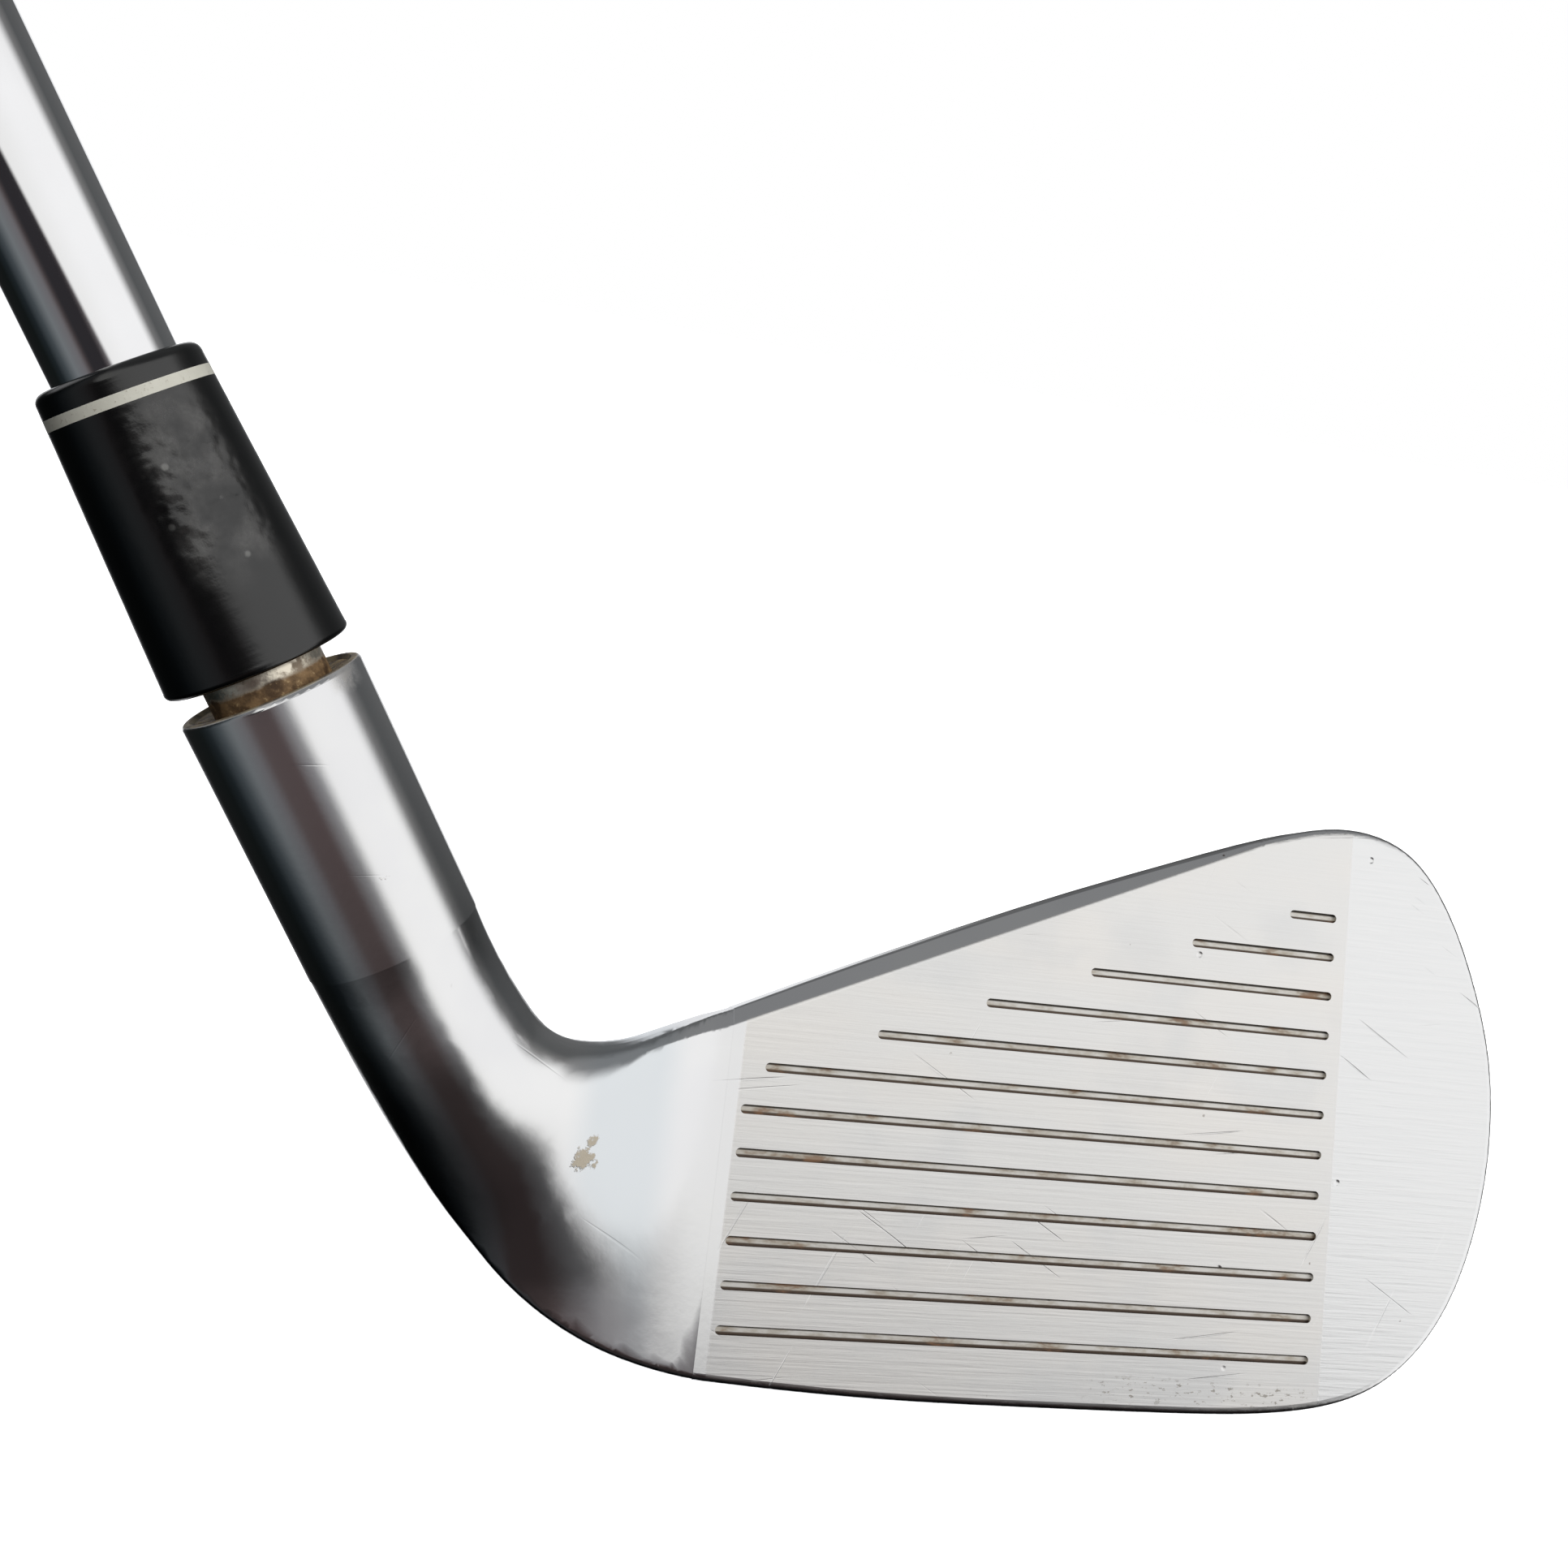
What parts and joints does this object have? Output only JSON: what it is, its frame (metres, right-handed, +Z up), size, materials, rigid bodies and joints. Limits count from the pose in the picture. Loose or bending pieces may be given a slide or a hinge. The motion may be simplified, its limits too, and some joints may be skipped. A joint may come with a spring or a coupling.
{
  "type": "iron golf club",
  "caption": "Left-handed long iron golf club: thin chrome blade with scorelines, hosel, sliding black ferrule, stepped steel shaft and rubber grip.",
  "frame": {"origin": "the spot of the sole that touches the ground at address, under the middle of the scorelines", "axes": "+Z up, +X from heel to toe, the striking face looks towards -Y and upwards"},
  "size_m": [0.5958, 0.0311, 0.8584],
  "materials": {
    "head_steel": "satin chrome plate over forged steel, polished at the heel",
    "epoxy": "aged brown adhesive, dull",
    "brass": "turned",
    "shaft_chrome": "bright chrome plate",
    "band_film": "printed film, plain",
    "ferrule_black": "worn gloss black",
    "ferrule_cream": "pale trim ring",
    "tape": "paper backed double sided tape",
    "grip_rubber": "matt moulded rubber"
  },
  "bodies": {
    "club": {"head": "head_steel", "hosel_epoxy": "epoxy", "tip_weight": "brass", "shaft": "shaft_chrome", "shaft_band": "band_film", "grip_tape": "tape", "grip": "grip_rubber", "grip_cap": "grip_rubber"},
    "ferrule": {"ferrule_body": "ferrule_black", "ferrule_ring": "ferrule_cream", "ferrule_collar": "ferrule_black"}
  },
  "joints": [
    {"name": "ferrule_slide", "type": "slide", "parent": "club", "child": "ferrule", "axis": [-0.5098, 0, 0.8603], "range_m": [-0.00195, 0.004]}
  ]
}
